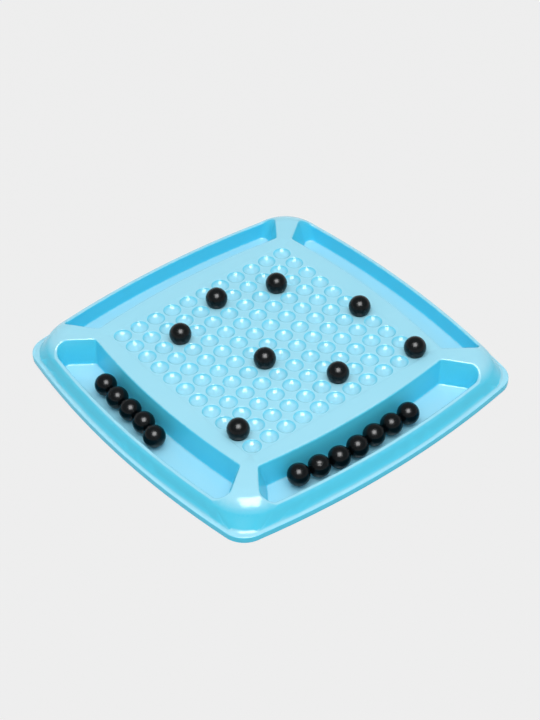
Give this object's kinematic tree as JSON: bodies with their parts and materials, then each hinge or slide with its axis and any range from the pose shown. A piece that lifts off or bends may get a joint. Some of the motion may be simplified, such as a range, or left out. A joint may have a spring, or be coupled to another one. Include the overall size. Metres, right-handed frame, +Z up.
{
  "type": "magnetic ball game",
  "caption": "Shallow bowed-square tray with a grid of round seats, a trough along each side, and loose magnetic balls that lift out one by one.",
  "frame": {"origin": "centre of the tray's footprint, on the table", "axes": "+Z up; +X and +Y along the middles of the right and back sides; the front and right troughs hold the rows of balls"},
  "size_m": [0.2716, 0.2716, 0.0353],
  "materials": {
    "tray_plastic": "glossy sky-blue injection-moulded plastic",
    "ball_plastic": "satin-gloss black plastic with a fine seam",
    "magnet_plating": "nickel-plated magnet, sealed inside the ball"
  },
  "bodies": {
    "board": {"board_tray": "tray_plastic"},
    "ball_01": {"ball_shell_01": "ball_plastic", "ball_magnet_01": "magnet_plating"},
    "ball_02": {"ball_shell_02": "ball_plastic", "ball_magnet_02": "magnet_plating"},
    "ball_03": {"ball_shell_03": "ball_plastic", "ball_magnet_03": "magnet_plating"},
    "ball_04": {"ball_shell_04": "ball_plastic", "ball_magnet_04": "magnet_plating"},
    "ball_05": {"ball_shell_05": "ball_plastic", "ball_magnet_05": "magnet_plating"},
    "ball_06": {"ball_shell_06": "ball_plastic", "ball_magnet_06": "magnet_plating"},
    "ball_07": {"ball_shell_07": "ball_plastic", "ball_magnet_07": "magnet_plating"},
    "ball_08": {"ball_shell_08": "ball_plastic", "ball_magnet_08": "magnet_plating"},
    "ball_09": {"ball_shell_09": "ball_plastic", "ball_magnet_09": "magnet_plating"},
    "ball_10": {"ball_shell_10": "ball_plastic", "ball_magnet_10": "magnet_plating"},
    "ball_11": {"ball_shell_11": "ball_plastic", "ball_magnet_11": "magnet_plating"},
    "ball_12": {"ball_shell_12": "ball_plastic", "ball_magnet_12": "magnet_plating"},
    "ball_13": {"ball_shell_13": "ball_plastic", "ball_magnet_13": "magnet_plating"},
    "ball_14": {"ball_shell_14": "ball_plastic", "ball_magnet_14": "magnet_plating"},
    "ball_15": {"ball_shell_15": "ball_plastic", "ball_magnet_15": "magnet_plating"},
    "ball_16": {"ball_shell_16": "ball_plastic", "ball_magnet_16": "magnet_plating"},
    "ball_17": {"ball_shell_17": "ball_plastic", "ball_magnet_17": "magnet_plating"},
    "ball_18": {"ball_shell_18": "ball_plastic", "ball_magnet_18": "magnet_plating"},
    "ball_19": {"ball_shell_19": "ball_plastic", "ball_magnet_19": "magnet_plating"},
    "ball_20": {"ball_shell_20": "ball_plastic", "ball_magnet_20": "magnet_plating"}
  },
  "joints": [
    {"name": "ball_01_lift", "type": "slide", "parent": "board", "child": "ball_01", "axis": [0, 0, 1], "range_m": [0, 0.06]},
    {"name": "ball_02_lift", "type": "slide", "parent": "board", "child": "ball_02", "axis": [0, 0, 1], "range_m": [0, 0.06]},
    {"name": "ball_03_lift", "type": "slide", "parent": "board", "child": "ball_03", "axis": [0, 0, 1], "range_m": [0, 0.06]},
    {"name": "ball_04_lift", "type": "slide", "parent": "board", "child": "ball_04", "axis": [0, 0, 1], "range_m": [0, 0.06]},
    {"name": "ball_05_lift", "type": "slide", "parent": "board", "child": "ball_05", "axis": [0, 0, 1], "range_m": [0, 0.06]},
    {"name": "ball_06_lift", "type": "slide", "parent": "board", "child": "ball_06", "axis": [0, 0, 1], "range_m": [0, 0.06]},
    {"name": "ball_07_lift", "type": "slide", "parent": "board", "child": "ball_07", "axis": [0, 0, 1], "range_m": [0, 0.06]},
    {"name": "ball_08_lift", "type": "slide", "parent": "board", "child": "ball_08", "axis": [0, 0, 1], "range_m": [0, 0.06]},
    {"name": "ball_09_lift", "type": "slide", "parent": "board", "child": "ball_09", "axis": [0, 0, 1], "range_m": [0, 0.06]},
    {"name": "ball_10_lift", "type": "slide", "parent": "board", "child": "ball_10", "axis": [0, 0, 1], "range_m": [0, 0.06]},
    {"name": "ball_11_lift", "type": "slide", "parent": "board", "child": "ball_11", "axis": [0, 0, 1], "range_m": [0, 0.06]},
    {"name": "ball_12_lift", "type": "slide", "parent": "board", "child": "ball_12", "axis": [0, 0, 1], "range_m": [0, 0.06]},
    {"name": "ball_13_lift", "type": "slide", "parent": "board", "child": "ball_13", "axis": [0, 0, 1], "range_m": [0, 0.06]},
    {"name": "ball_14_lift", "type": "slide", "parent": "board", "child": "ball_14", "axis": [0, 0, 1], "range_m": [0, 0.06]},
    {"name": "ball_15_lift", "type": "slide", "parent": "board", "child": "ball_15", "axis": [0, 0, 1], "range_m": [0, 0.06]},
    {"name": "ball_16_lift", "type": "slide", "parent": "board", "child": "ball_16", "axis": [0, 0, 1], "range_m": [0, 0.06]},
    {"name": "ball_17_lift", "type": "slide", "parent": "board", "child": "ball_17", "axis": [0, 0, 1], "range_m": [0, 0.06]},
    {"name": "ball_18_lift", "type": "slide", "parent": "board", "child": "ball_18", "axis": [0, 0, 1], "range_m": [0, 0.06]},
    {"name": "ball_19_lift", "type": "slide", "parent": "board", "child": "ball_19", "axis": [0, 0, 1], "range_m": [0, 0.06]},
    {"name": "ball_20_lift", "type": "slide", "parent": "board", "child": "ball_20", "axis": [0, 0, 1], "range_m": [0, 0.06]}
  ]
}
